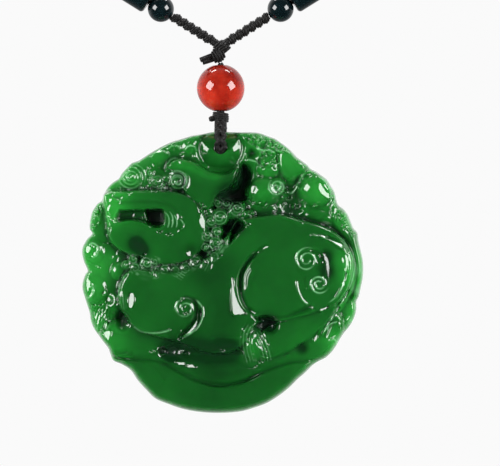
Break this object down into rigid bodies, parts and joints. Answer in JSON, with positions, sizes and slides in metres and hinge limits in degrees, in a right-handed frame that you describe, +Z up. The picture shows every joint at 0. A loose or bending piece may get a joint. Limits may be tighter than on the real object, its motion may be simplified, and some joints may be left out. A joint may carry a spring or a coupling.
{
  "type": "jade pendant necklace",
  "caption": "Carved jade disc pendant with a mythical beast in relief, hanging from a knotted dark cord loop with a red bead and small dark beads.",
  "frame": {"origin": "the middle of the cord at the nape of the neck, where the necklace hangs", "axes": "+Z up, -Y the way the pendant's carved face looks, +X to the right of someone who looks at that face"},
  "size_m": [0.1522, 0.1334, 0.2542],
  "materials": {
    "jade": "polished green jade, slightly translucent",
    "red_stone": "polished red agate",
    "dark_stone": "polished blackish green stone",
    "cord": "tightly knotted waxed cord"
  },
  "bodies": {
    "necklace": {"hanging_cord": "cord", "red_bead": "red_stone", "junction_knot": "cord", "braid_left": "cord", "braid_right": "cord", "round_bead_left": "dark_stone", "round_bead_right": "dark_stone", "tube_bead_left": "dark_stone", "tube_bead_right": "dark_stone", "neck_cord": "cord"},
    "pendant": {"jade_pendant": "jade"}
  },
  "joints": [
    {"name": "pendant_swing", "type": "hinge", "parent": "necklace", "child": "pendant", "pos_m": [0, -0.125, -0.20905], "axis": [0, 1, 0], "range_deg": [-20, 20]}
  ]
}
